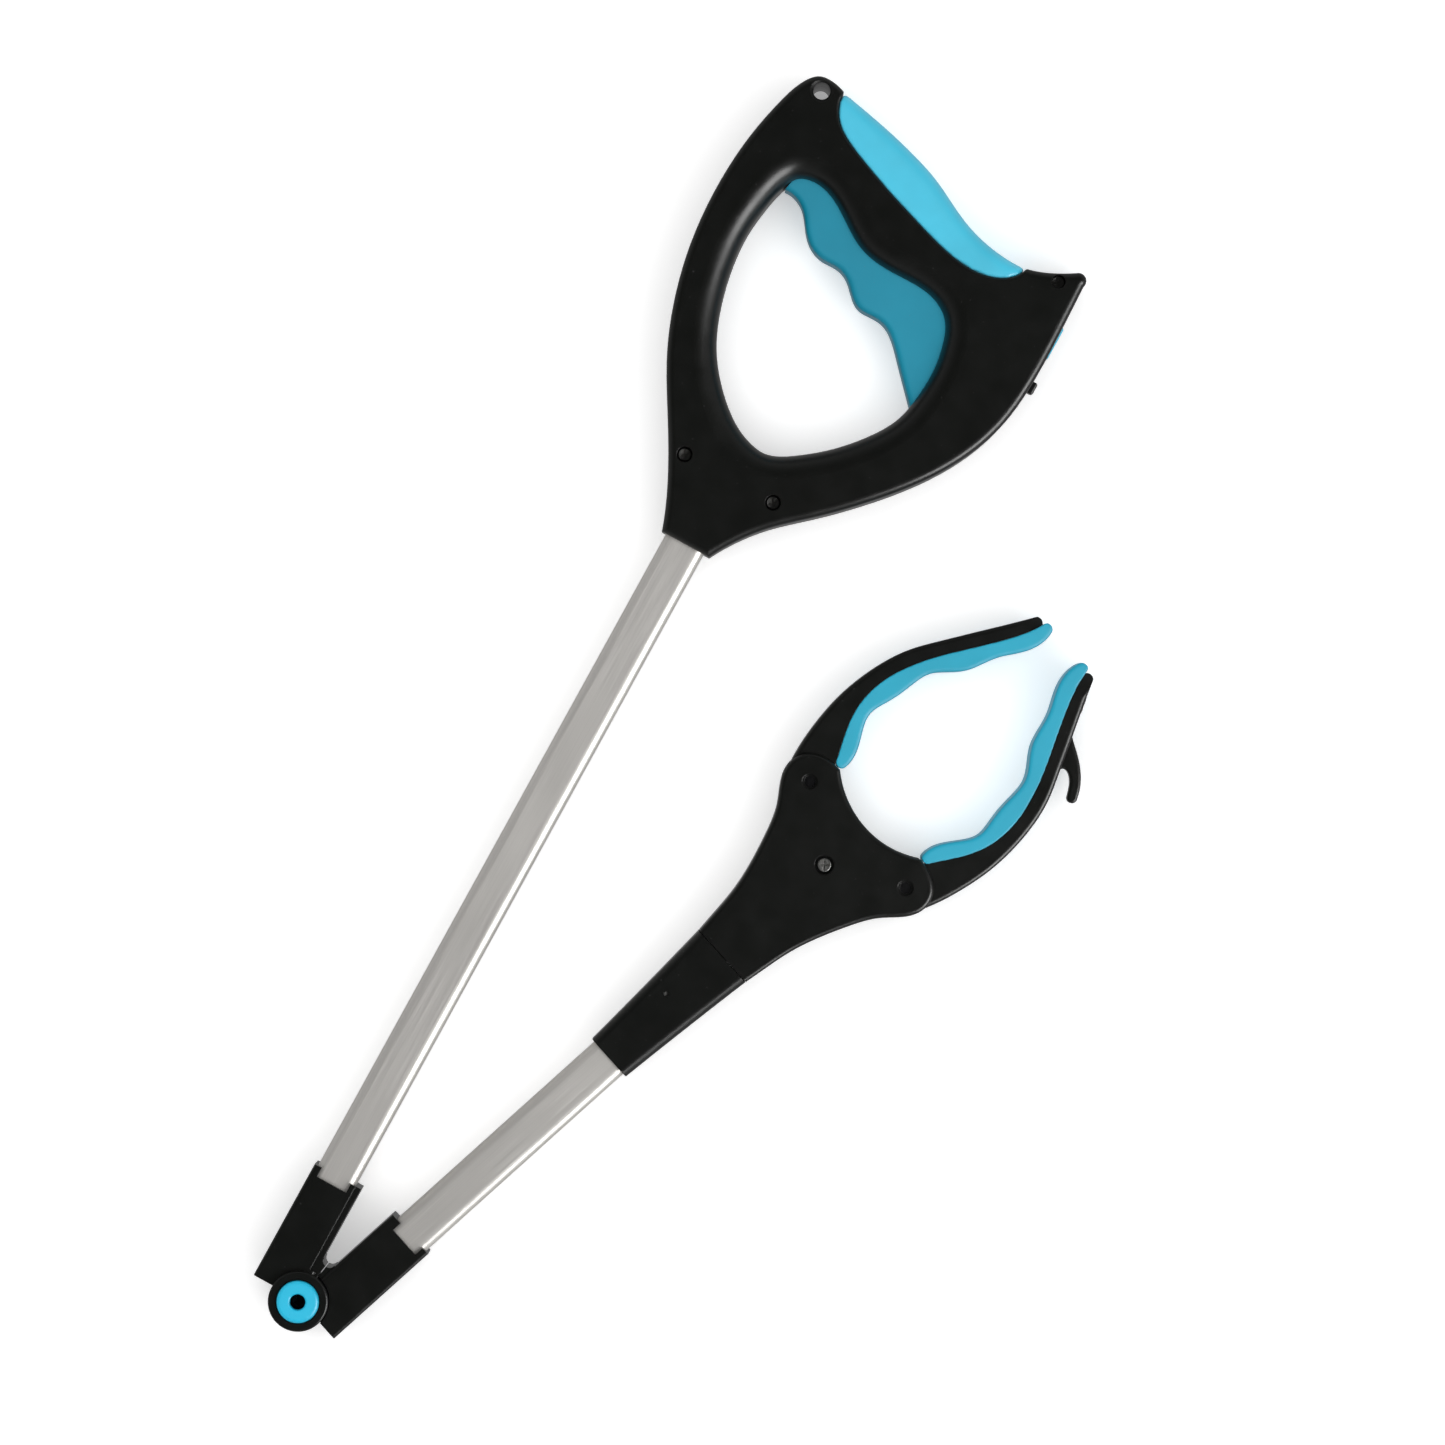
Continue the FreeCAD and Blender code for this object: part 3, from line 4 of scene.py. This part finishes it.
import bmesh
import bpy
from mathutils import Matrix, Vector


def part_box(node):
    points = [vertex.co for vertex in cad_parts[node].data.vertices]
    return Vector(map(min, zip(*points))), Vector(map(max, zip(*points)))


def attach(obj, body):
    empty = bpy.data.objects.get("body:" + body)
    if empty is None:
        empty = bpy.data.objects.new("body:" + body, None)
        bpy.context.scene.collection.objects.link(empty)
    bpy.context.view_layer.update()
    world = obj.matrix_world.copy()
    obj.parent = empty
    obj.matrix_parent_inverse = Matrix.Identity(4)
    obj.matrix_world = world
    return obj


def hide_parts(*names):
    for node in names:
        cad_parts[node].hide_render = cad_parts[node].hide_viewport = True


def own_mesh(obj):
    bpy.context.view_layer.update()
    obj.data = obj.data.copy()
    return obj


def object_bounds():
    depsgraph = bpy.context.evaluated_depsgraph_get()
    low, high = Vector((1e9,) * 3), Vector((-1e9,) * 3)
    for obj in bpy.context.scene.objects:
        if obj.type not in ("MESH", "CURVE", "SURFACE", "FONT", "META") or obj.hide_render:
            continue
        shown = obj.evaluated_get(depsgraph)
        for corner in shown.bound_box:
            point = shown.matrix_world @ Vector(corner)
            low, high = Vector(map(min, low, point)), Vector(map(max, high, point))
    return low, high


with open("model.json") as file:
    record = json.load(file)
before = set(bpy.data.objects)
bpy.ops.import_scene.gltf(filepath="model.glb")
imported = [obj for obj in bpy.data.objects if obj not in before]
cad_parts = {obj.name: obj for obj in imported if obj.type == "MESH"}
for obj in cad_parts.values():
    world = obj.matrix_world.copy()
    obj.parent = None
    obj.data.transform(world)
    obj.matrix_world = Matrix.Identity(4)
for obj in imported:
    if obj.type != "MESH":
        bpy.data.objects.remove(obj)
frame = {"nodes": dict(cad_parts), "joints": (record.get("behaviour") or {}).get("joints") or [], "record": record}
CAD_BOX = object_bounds()

MM = 0.001
NODES = frame["nodes"]
JOINTS = {joint["name"]: joint for joint in frame["joints"]}
UP = Vector((0, 0, 1))


def joint_place(name):
    """A joint's pivot, at rest."""
    return Vector(JOINTS[name]["pos_m"])


UPPER_ANGLE = 0.0             # the upper tube lies along X
LOWER_AXIS = Vector(JOINTS["head_swivel"]["axis"])
LOWER_ANGLE = math.atan2(LOWER_AXIS.y, LOWER_AXIS.x)


# Camera, lights and floor

VIEW_ROLL = -61.15            # degrees about Z: the upper tube then points up and to the right
VIEW_CENTRE = (0.0227, 0.0150)
VIEW_WIDTH = 0.5058           # width of the frame at the tool's middle height
VIEW_DISTANCE = 2.1
SENSOR = 36.0
ROOM_BRIGHTNESS = 0.45
FLOOR_COLOUR = (0.93, 0.93, 0.93)
FLOOR_SPECULAR = 0.1
FLOOR_GLOW = 0.34             # lifts the floor towards white, so that its shadows stay faint
FLOOR_GAP = 0.0002            # between the floor and the tool's underside


def make_camera():
    """A camera straight above the tool, as the photograph was taken."""
    data = bpy.data.cameras.new("camera")
    data.sensor_width = SENSOR
    data.lens = SENSOR * VIEW_DISTANCE / VIEW_WIDTH
    camera = bpy.data.objects.new("camera", data)
    middle = (CAD_BOX[0].z + CAD_BOX[1].z) / 2
    camera.location = (*VIEW_CENTRE, middle + VIEW_DISTANCE)
    camera.rotation_euler = (0, 0, math.radians(VIEW_ROLL))
    bpy.context.scene.collection.objects.link(camera)
    bpy.context.scene.camera = camera


def area_light(name, turn, elevation, distance, size, power, glossy=True, diffuse=True):
    """A soft box aimed at the tool. turn is its direction in the view, anticlockwise from the right."""
    data = bpy.data.lights.new(name, "AREA")
    data.shape = "RECTANGLE"
    data.size, data.size_y = size
    data.energy = power
    light = bpy.data.objects.new(name, data)
    round_z = math.radians(turn + VIEW_ROLL)
    lift = math.radians(elevation)
    toward = Vector((math.cos(round_z) * math.cos(lift), math.sin(round_z) * math.cos(lift), math.sin(lift)))
    light.location = Vector((*VIEW_CENTRE, 0)) + toward * distance
    light.rotation_euler = toward.to_track_quat("Z", "Y").to_euler()
    light.visible_camera = False
    light.visible_glossy = glossy
    light.visible_diffuse = diffuse
    bpy.context.scene.collection.objects.link(light)


def make_lights():
    """A wide soft key with no glare, a gleam from the lower right, and a wide scrim overhead."""
    area_light("key", turn=-30, elevation=50, distance=1.7, size=(1.5, 1.2), power=7, glossy=False)
    area_light("gleam", turn=-34, elevation=34, distance=1.2, size=(0.9, 0.7), power=17, diffuse=False)
    area_light("fill", turn=140, elevation=42, distance=1.8, size=(1.2, 1.2), power=2.5, glossy=False)
    area_light("scrim", turn=0, elevation=90, distance=3.2, size=(4.6, 4.6), power=120, glossy=False)


def make_world():
    """A studio room: pale walls round about, and a dim ceiling."""
    world = bpy.data.worlds.new("studio")
    world.use_nodes = True
    tree = world.node_tree
    background = tree.nodes["Background"]
    where = tree.nodes.new("ShaderNodeTexCoord")
    split = tree.nodes.new("ShaderNodeSeparateXYZ")
    wall = (0.8, 0.8, 0.8)
    ceiling = (0.03, 0.03, 0.03)
    link(tree, where.outputs["Generated"], split.inputs[0])
    room = colours(tree, split.outputs["Z"], (0.15, wall), (0.85, ceiling))
    link(tree, room, background.inputs["Color"])
    background.inputs["Strength"].default_value = ROOM_BRIGHTNESS
    bpy.context.scene.world = world


def make_floor():
    """A plain pale sheet just under the tool."""
    size = 8.0
    mesh = bpy.data.meshes.new("floor")
    form = bmesh.new()
    bmesh.ops.create_grid(form, x_segments=1, y_segments=1, size=size)
    form.to_mesh(mesh)
    form.free()
    floor = bpy.data.objects.new("floor", mesh)
    floor.location.z = CAD_BOX[0].z - FLOOR_GAP
    bpy.context.scene.collection.objects.link(floor)
    material, shader = principled("floor_paper", FLOOR_COLOUR, roughness=0.9)
    shader.inputs["Specular IOR Level"].default_value = FLOOR_SPECULAR
    shader.inputs["Emission Color"].default_value = (1, 1, 1, 1)
    shader.inputs["Emission Strength"].default_value = FLOOR_GLOW
    mesh.materials.append(material)
    floor.visible_glossy = False


# Materials

EDGE_SAMPLES = 4
MOULDED_EDGE = 0.35 * MM      # how far the look of a sharp edge is rounded
TUBE_EDGE = 0.2 * MM
METAL_EDGE = 0.15 * MM


def principled(name, colour, roughness, metallic=0.0):
    """A new material and its Principled shader."""
    material = bpy.data.materials.new(name)
    material.use_nodes = True
    shader = material.node_tree.nodes["Principled BSDF"]
    shader.inputs["Base Color"].default_value = (*colour, 1)
    shader.inputs["Roughness"].default_value = roughness
    shader.inputs["Metallic"].default_value = metallic
    return material, shader


def link(tree, source, target):
    tree.links.new(source, target)


def part_space(tree, turn, scale=(1, 1, 1)):
    """Texture coordinates in the part's own frame, turned about Z and scaled."""
    where = tree.nodes.new("ShaderNodeTexCoord")
    aim = tree.nodes.new("ShaderNodeMapping")
    aim.vector_type = "TEXTURE"
    aim.inputs["Rotation"].default_value = (0, 0, turn)
    aim.inputs["Scale"].default_value = scale
    link(tree, where.outputs["Object"], aim.inputs["Vector"])
    return aim.outputs["Vector"]


def noise(tree, scale, detail, stretch=(1, 1, 1), turn=0.0):
    """Noise in the part's frame. scale is per metre; stretch below 1 lengthens it along that axis."""
    texture = tree.nodes.new("ShaderNodeTexNoise")
    texture.inputs["Scale"].default_value = 1.0
    texture.inputs["Detail"].default_value = detail
    space = part_space(tree, turn, [1 / (scale * factor) for factor in stretch])
    link(tree, space, texture.inputs["Vector"])
    return texture.outputs["Fac"]


def spread(tree, value, low, high, start=0.3, end=0.7):
    """Maps a value between start and end on to the range from low to high."""
    change = tree.nodes.new("ShaderNodeMapRange")
    for key, number in (("From Min", start), ("From Max", end), ("To Min", low), ("To Max", high)):
        change.inputs[key].default_value = number
    link(tree, value, change.inputs["Value"])
    return change.outputs["Result"]


def colours(tree, value, low, high):
    """A colour ramp between two (position, colour) stops."""
    ramp = tree.nodes.new("ShaderNodeValToRGB")
    for element, (position, colour) in zip(ramp.color_ramp.elements, (low, high)):
        element.position = position
        element.color = (*colour, 1)
    link(tree, value, ramp.inputs[0])
    return ramp.outputs["Color"]


def bump(tree, height, distance, strength, under=None):
    """Small relief. under is the normal it adds to."""
    relief = tree.nodes.new("ShaderNodeBump")
    relief.inputs["Distance"].default_value = distance
    relief.inputs["Strength"].default_value = strength
    link(tree, height, relief.inputs["Height"])
    if under is not None:
        link(tree, under, relief.inputs["Normal"])
    return relief.outputs["Normal"]


def broken_edges(tree, radius):
    """The normal of a part whose sharp edges are slightly rounded, as moulded and cut edges are."""
    edge = tree.nodes.new("ShaderNodeBevel")
    edge.samples = EDGE_SAMPLES
    edge.inputs["Radius"].default_value = radius
    return edge.outputs["Normal"]


def tint(colour, factor):
    return tuple(channel * factor for channel in colour)


def moulded_plastic(name, colour, roughness, grain=0.3):
    """Moulded plastic: spark-eroded grain, slightly uneven gloss, and a few specks of dust."""
    material, shader = principled(name, colour, roughness)
    tree = material.node_tree
    cloud = noise(tree, scale=45, detail=3)
    shade = colours(tree, cloud, (0.3, tint(colour, 0.94)), (0.7, tint(colour, 1.06)))
    dust = noise(tree, scale=900, detail=1)
    specks = spread(tree, dust, low=0, high=1, start=0.76, end=0.79)
    dusty = tuple(channel * 0.8 + 0.02 for channel in colour)
    mix = tree.nodes.new("ShaderNodeMix")
    mix.data_type = "RGBA"
    mix.inputs["B"].default_value = (*dusty, 1)
    link(tree, specks, mix.inputs["Factor"])
    link(tree, shade, mix.inputs["A"])
    link(tree, mix.outputs["Result"], shader.inputs["Base Color"])
    uneven = noise(tree, scale=130, detail=4)
    gloss = spread(tree, uneven, low=roughness - 0.03, high=roughness + 0.04)
    link(tree, gloss, shader.inputs["Roughness"])
    fine = noise(tree, scale=1900, detail=2)
    edges = broken_edges(tree, MOULDED_EDGE)
    relief = bump(tree, fine, distance=0.05 * MM, strength=grain, under=edges)
    link(tree, relief, shader.inputs["Normal"])
    return material


def soft_rubber(name, colour, roughness, pale=1.05):
    """Matt moulded rubber with a fine skin texture and handling marks."""
    grain = 0.35
    material, shader = principled(name, colour, roughness)
    tree = material.node_tree
    cloud = noise(tree, scale=30, detail=4)
    # Random mottles in the rubber's tone; on the palm pad, where pale is 1.16, the paler mottles are painted
    # highlights.
    shade = colours(tree, cloud, (0.3, tint(colour, 0.92)), (0.72, tint(colour, pale)))
    link(tree, shade, shader.inputs["Base Color"])
    rubbed = noise(tree, scale=160, detail=5)
    gloss = spread(tree, rubbed, low=roughness - 0.08, high=roughness + 0.1)
    link(tree, gloss, shader.inputs["Roughness"])
    fine = noise(tree, scale=1500, detail=3)
    pores = noise(tree, scale=420, detail=2)
    relief = bump(tree, pores, distance=0.06 * MM, strength=grain * 0.5)
    relief = bump(tree, fine, distance=0.05 * MM, strength=grain, under=relief)
    link(tree, relief, shader.inputs["Normal"])
    shader.inputs["Sheen Weight"].default_value = 0.12
    shader.inputs["Sheen Roughness"].default_value = 0.5
    return material


def anodised_tube(name, turn):
    """Satin anodised aluminium, brushed along the tube, whose direction is turn."""
    colour = (0.66, 0.64, 0.61)
    line_weight = 0.45
    material, shader = principled(name, colour, roughness=0.4, metallic=0.62)
    tree = material.node_tree
    lines = noise(tree, scale=2600, detail=3, stretch=(0.012, 1, 1), turn=turn)
    broad = noise(tree, scale=22, detail=2, stretch=(0.35, 1, 1), turn=turn)
    streaks = tree.nodes.new("ShaderNodeMath")
    streaks.operation = "MULTIPLY_ADD"
    streaks.inputs[1].default_value = line_weight
    link(tree, lines, streaks.inputs[0])
    link(tree, broad, streaks.inputs[2])
    shade = colours(tree, streaks.outputs["Value"], (0.5, tint(colour, 0.86)), (0.95, tint(colour, 1.06)))
    link(tree, shade, shader.inputs["Base Color"])
    link(tree, spread(tree, lines, low=0.33, high=0.5), shader.inputs["Roughness"])
    edges = broken_edges(tree, TUBE_EDGE)
    relief = bump(tree, lines, distance=0.012 * MM, strength=0.35, under=edges)
    link(tree, relief, shader.inputs["Normal"])
    return material


def plated_steel(name, colour, roughness, scale=800):
    """Plated steel: faint mottling and fine scratches."""
    material, shader = principled(name, colour, roughness, metallic=1.0)
    tree = material.node_tree
    mottle = noise(tree, scale=scale * 0.4, detail=4)
    shade = colours(tree, mottle, (0.3, tint(colour, 0.82)), (0.7, tint(colour, 1.1)))
    link(tree, shade, shader.inputs["Base Color"])
    scratch = noise(tree, scale=scale * 3, detail=2, stretch=(0.06, 1, 1), turn=0.7)
    gloss = spread(tree, scratch, low=roughness - 0.08, high=roughness + 0.14)
    link(tree, gloss, shader.inputs["Roughness"])
    edges = broken_edges(tree, METAL_EDGE)
    relief = bump(tree, scratch, distance=0.02 * MM, strength=0.3, under=edges)
    link(tree, relief, shader.inputs["Normal"])
    return material


def wire_rope(name, turn):
    """Twisted steel strands along a cable that runs in the direction turn."""
    colour = (0.36, 0.36, 0.37)
    strand_scale = 360
    material, shader = principled(name, colour, roughness=0.38, metallic=1.0)
    tree = material.node_tree
    strands = tree.nodes.new("ShaderNodeTexWave")
    strands.bands_direction = "DIAGONAL"
    strands.inputs["Scale"].default_value = strand_scale
    link(tree, part_space(tree, turn), strands.inputs["Vector"])
    lay = strands.outputs["Fac"]
    # The grooves between the strands are darkened: painted shade in the creases.
    shade = colours(tree, lay, (0.15, tint(colour, 0.3)), (0.6, colour))
    link(tree, shade, shader.inputs["Base Color"])
    link(tree, bump(tree, lay, distance=0.12 * MM, strength=0.8), shader.inputs["Normal"])
    return material


def make_materials():
    """One material for each of the record's material slots, by the slot's name."""
    return {
        "shell_black": moulded_plastic("shell_black", (0.0040, 0.0044, 0.0038), 0.33),
        "inner_plastic": moulded_plastic("inner_plastic", (0.62, 0.62, 0.58), 0.42, grain=0.2),
        # The palm pad's paler mottles (pale=1.16) are painted highlights.
        "palm_rubber": soft_rubber("palm_rubber", (0.058, 0.50, 0.69), 0.36, pale=1.16),
        # The trigger's own teal, darkened further with painted shade from its recess in the handle.
        "trigger_plastic": moulded_plastic("trigger_plastic", (0.004, 0.25, 0.37), 0.42, grain=0.2),
        "jaw_rubber": soft_rubber("jaw_rubber", (0.012, 0.37, 0.53), 0.5),
        "button_plastic": moulded_plastic("button_plastic", (0.018, 0.50, 0.74), 0.32, grain=0.12),
        "dark_steel": plated_steel("dark_steel", (0.035, 0.035, 0.037), 0.4),
        "tube_aluminium": anodised_tube("tube_aluminium", UPPER_ANGLE),
        "zinc_steel": plated_steel("zinc_steel", (0.5, 0.5, 0.48), 0.36),
        "spring_steel": plated_steel("spring_steel", (0.3, 0.3, 0.31), 0.3, scale=1600),
        "cable_steel": wire_rope("cable_steel", UPPER_ANGLE),
        "magnet_nickel": plated_steel("magnet_nickel", (0.6, 0.59, 0.56), 0.2),
    }


MATERIALS = make_materials()
LOWER_ARM_MATERIALS = {
    "lower_tube": anodised_tube("tube_aluminium_lower", LOWER_ANGLE),
    "cable_lower_run": wire_rope("cable_steel_lower", LOWER_ANGLE),
}


def paint(piece, material):
    piece.data.materials.clear()
    piece.data.materials.append(material)


def paint_cad_nodes():
    """Each CAD node's material is its slot's, turned to the lower arm's direction where that shows."""
    for part in frame["record"]["subparts"]:
        name = part["node"]
        paint(NODES[name], LOWER_ARM_MATERIALS.get(name, MATERIALS[part["material_slot"]]))


# Soft pads

SMOOTH_FACTOR = 0.5
PALM_VOXEL = 0.8 * MM
JAW_VOXEL = 0.45 * MM


def new_piece(name, mesh, slot):
    """A new object with its slot's material."""
    piece = bpy.data.objects.new(name, mesh)
    bpy.context.scene.collection.objects.link(piece)
    paint(piece, MATERIALS[slot])
    return piece


def shade_smooth(mesh):
    mesh.polygons.foreach_set("use_smooth", [True] * len(mesh.polygons))


def soft_pad(name, node, body, slot, voxel, rounds):
    """A moulded pad made from its CAD solid: an even mesh, with every edge softly rounded."""
    piece = new_piece(name, NODES[node].data.copy(), slot)
    remesh = piece.modifiers.new("even", "REMESH")
    remesh.mode = "VOXEL"
    remesh.voxel_size = voxel
    smooth = piece.modifiers.new("round", "SMOOTH")
    smooth.factor = SMOOTH_FACTOR
    smooth.iterations = rounds
    evaluated = piece.evaluated_get(bpy.context.evaluated_depsgraph_get())
    mesh = bpy.data.meshes.new_from_object(evaluated)
    piece.modifiers.clear()
    piece.data = mesh
    paint(piece, MATERIALS[slot])
    shade_smooth(mesh)
    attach(piece, body)
    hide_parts(node)


def make_pads():
    """The palm pad is well rounded. The jaw pads keep their waves, so they are rounded less."""
    soft_pad("palm_grip", "palm_pad", "handle", "palm_rubber", PALM_VOXEL, rounds=14)
    for side in ("plain", "hook"):
        body = f"jaw_{side}"
        soft_pad(f"{side}_jaw_cushion", f"{body}_pad", body, "jaw_rubber", JAW_VOXEL, rounds=3)


# Springs and cable

def skin(name, rings):
    """A closed tube through rings of points."""
    form = bmesh.new()
    corners = [[form.verts.new(point) for point in ring] for ring in rings]
    sides = len(corners[0])
    for near, far in zip(corners, corners[1:]):
        for side in range(sides):
            after = (side + 1) % sides
            form.faces.new((near[side], near[after], far[after], far[side]))
    form.faces.new(corners[0][::-1])
    form.faces.new(corners[-1])
    bmesh.ops.recalc_face_normals(form, faces=form.faces)
    mesh = bpy.data.meshes.new(name)
    form.to_mesh(mesh)
    form.free()
    shade_smooth(mesh)
    return mesh


def ring_round(centre, first, second, radius):
    """Points on a circle about centre, in the plane of two directions."""
    sides = 10
    angles = [2 * math.pi * side / sides for side in range(sides)]
    return [centre + (first * math.cos(t) + second * math.sin(t)) * radius for t in angles]


def coil_spring(name, node, body, start, axis, length, outer, wire_r, turns):
    """A round-wire coil from start along axis, with its end turns drawn closer together."""
    steps = 28
    closing = 0.35
    first = axis.orthogonal().normalized()
    second = axis.cross(first)
    count = int(turns * steps)
    radius = outer - wire_r
    room = length - 2 * wire_r
    rings = []
    for step in range(count + 1):
        along = step / count
        eased = along - math.sin(2 * math.pi * along) / (2 * math.pi) * closing
        angle = 2 * math.pi * turns * along
        outward = first * math.cos(angle) + second * math.sin(angle)
        centre = start + axis * (wire_r + room * eased) + outward * radius
        rings.append(ring_round(centre, outward, axis, wire_r))
    spring = new_piece(name, skin(name, rings), "spring_steel")
    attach(spring, body)
    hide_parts(node)
    return spring


def path_rings(path, radius):
    """Rings square to a level path, for a round tube along it."""
    rings = []
    for index, point in enumerate(path):
        before = path[max(index - 1, 0)]
        after = path[min(index + 1, len(path) - 1)]
        sideways = UP.cross((after - before).normalized())
        rings.append(ring_round(point, sideways, UP, radius))
    return rings


def hinge_cable_route(wrap):
    """The upper half of the run, as distance and angle about the fold: a straight, then half the wrap."""
    gap = 0.3 * MM
    steps = 14
    pivot = joint_place("fold")
    long_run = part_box("cable_upper_run")
    start_x = long_run[0].x - pivot.x - gap
    start_y = (long_run[0].y + long_run[1].y) / 2 - pivot.y
    reach = math.hypot(start_x, start_y)
    begin = math.atan2(start_y, start_x)
    touch = begin + math.acos(wrap / reach)
    back = LOWER_ANGLE / 2 + math.pi
    arc = [(wrap, touch + (back - touch) * step / steps) for step in range(steps + 1)]
    return [(reach, begin)] + arc


def make_hinge_cable():
    """The cable's run round the fold pin, in two halves, so that each half turns with its own arm."""
    low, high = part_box("cable_hinge_run")
    radius = (high.z - low.z) / 2
    level = (high.z + low.z) / 2
    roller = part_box("hinge_cable_roller")
    route = hinge_cable_route(wrap=(roller[1].x - roller[0].x) / 2 + radius)
    pivot = joint_place("fold")
    halves = (("hinge_cable_upper", "handle", False), ("hinge_cable_lower", "lower_arm", True))
    for name, body, mirrored in halves:
        path = []
        for far, angle in route:
            turned = LOWER_ANGLE - angle if mirrored else angle
            path.append(Vector((pivot.x + far * math.cos(turned), pivot.y + far * math.sin(turned), level)))
        half = new_piece(name, skin(name, path_rings(path, radius)), "cable_steel")
        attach(half, body)
        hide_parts("cable_hinge_run")


def upright_room(node):
    """The middle of an upright CAD spring's lower end, its height, and its outer radius."""
    low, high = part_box(node)
    start = Vector(((low.x + high.x) / 2, (low.y + high.y) / 2, low.z))
    return start, high.z - low.z, (high.x - low.x) / 2


def make_springs():
    """Round-wire coils in place of the CAD springs of the button, the trigger and the jaw."""
    start, height, outer = upright_room("hinge_button_spring")
    spring = coil_spring("button_coil", "hinge_button_spring", "handle", start, UP, height, outer,
                         wire_r=0.4 * MM, turns=4)
    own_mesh(spring)

    start, height, outer = upright_room("trigger_return_spring")
    coil_spring("trigger_coil", "trigger_return_spring", "handle", start, UP, height, outer,
                wire_r=0.5 * MM, turns=3.2)

    low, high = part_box("jaw_return_spring")
    cad_length = 13.0 * MM
    end_gap = 0.7 * MM
    start = (low + high) / 2 - LOWER_AXIS * (cad_length / 2)
    coil_spring("jaw_coil", "jaw_return_spring", "head", start, LOWER_AXIS, cad_length - end_gap,
                (high.z - low.z) / 2, wire_r=0.45 * MM, turns=7)


bpy.context.scene.view_settings.view_transform = "Standard"
make_camera()
make_lights()
make_world()
make_floor()
paint_cad_nodes()
make_pads()
make_springs()
make_hinge_cable()
